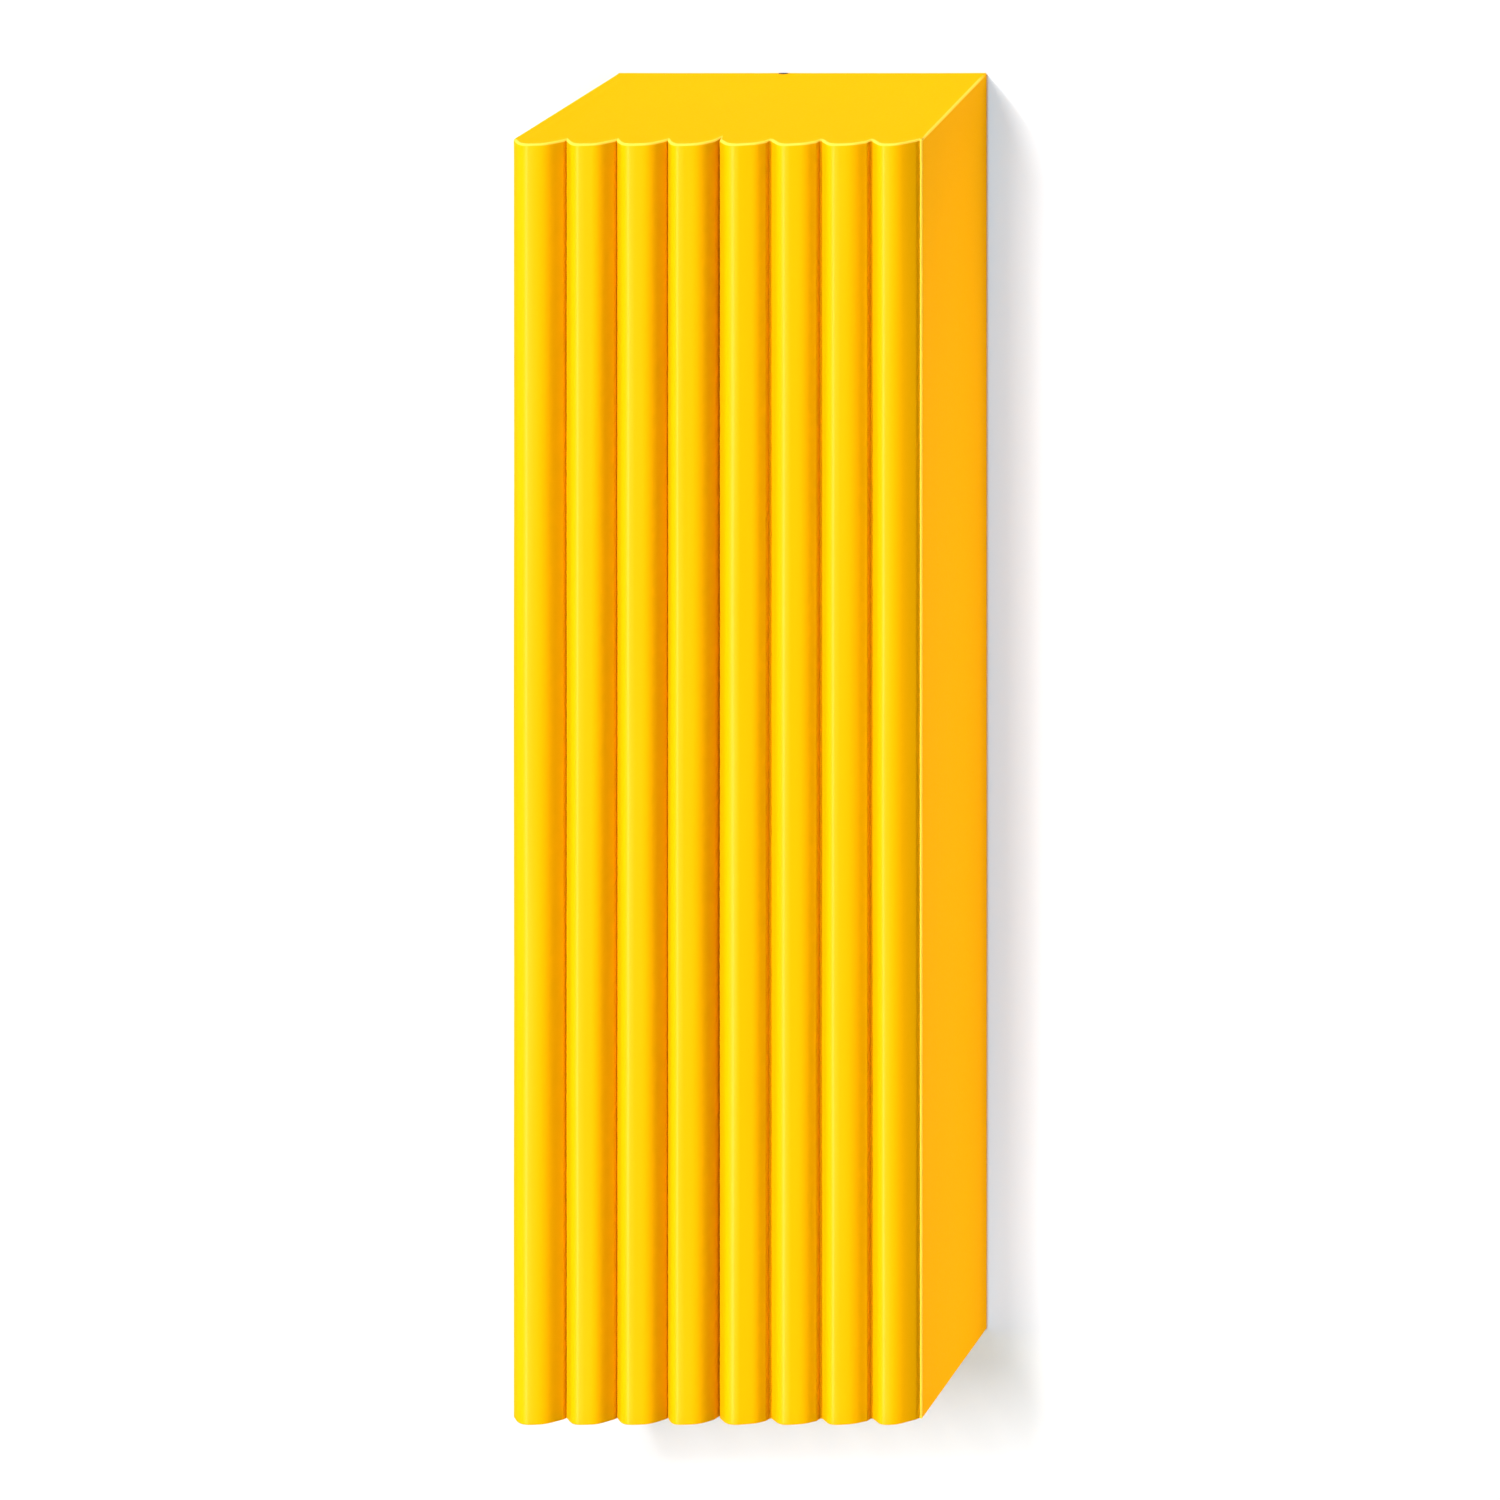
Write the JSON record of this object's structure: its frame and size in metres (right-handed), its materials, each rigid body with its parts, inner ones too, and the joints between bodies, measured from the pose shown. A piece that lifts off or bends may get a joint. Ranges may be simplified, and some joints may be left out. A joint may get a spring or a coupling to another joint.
{
  "type": "modelling clay bar",
  "caption": "Ribbed bar of oven-hardening modelling clay, scored lengthwise into equal portions, lying on its flat back.",
  "frame": {"origin": "centre of the flat back, on the surface that the bar lies on", "axes": "+Z out of the ribbed face, +Y along the ribs towards the clean-cut end, +X across the ribs towards the side with the wider corner lip"},
  "size_m": [0.0554, 0.173, 0.035],
  "materials": {
    "clay": "satin"
  },
  "bodies": {
    "root": {"portion_1": "clay", "portion_2": "clay", "portion_3": "clay", "portion_4": "clay", "portion_5": "clay", "portion_6": "clay", "portion_7": "clay", "portion_8": "clay"}
  },
  "joints": []
}
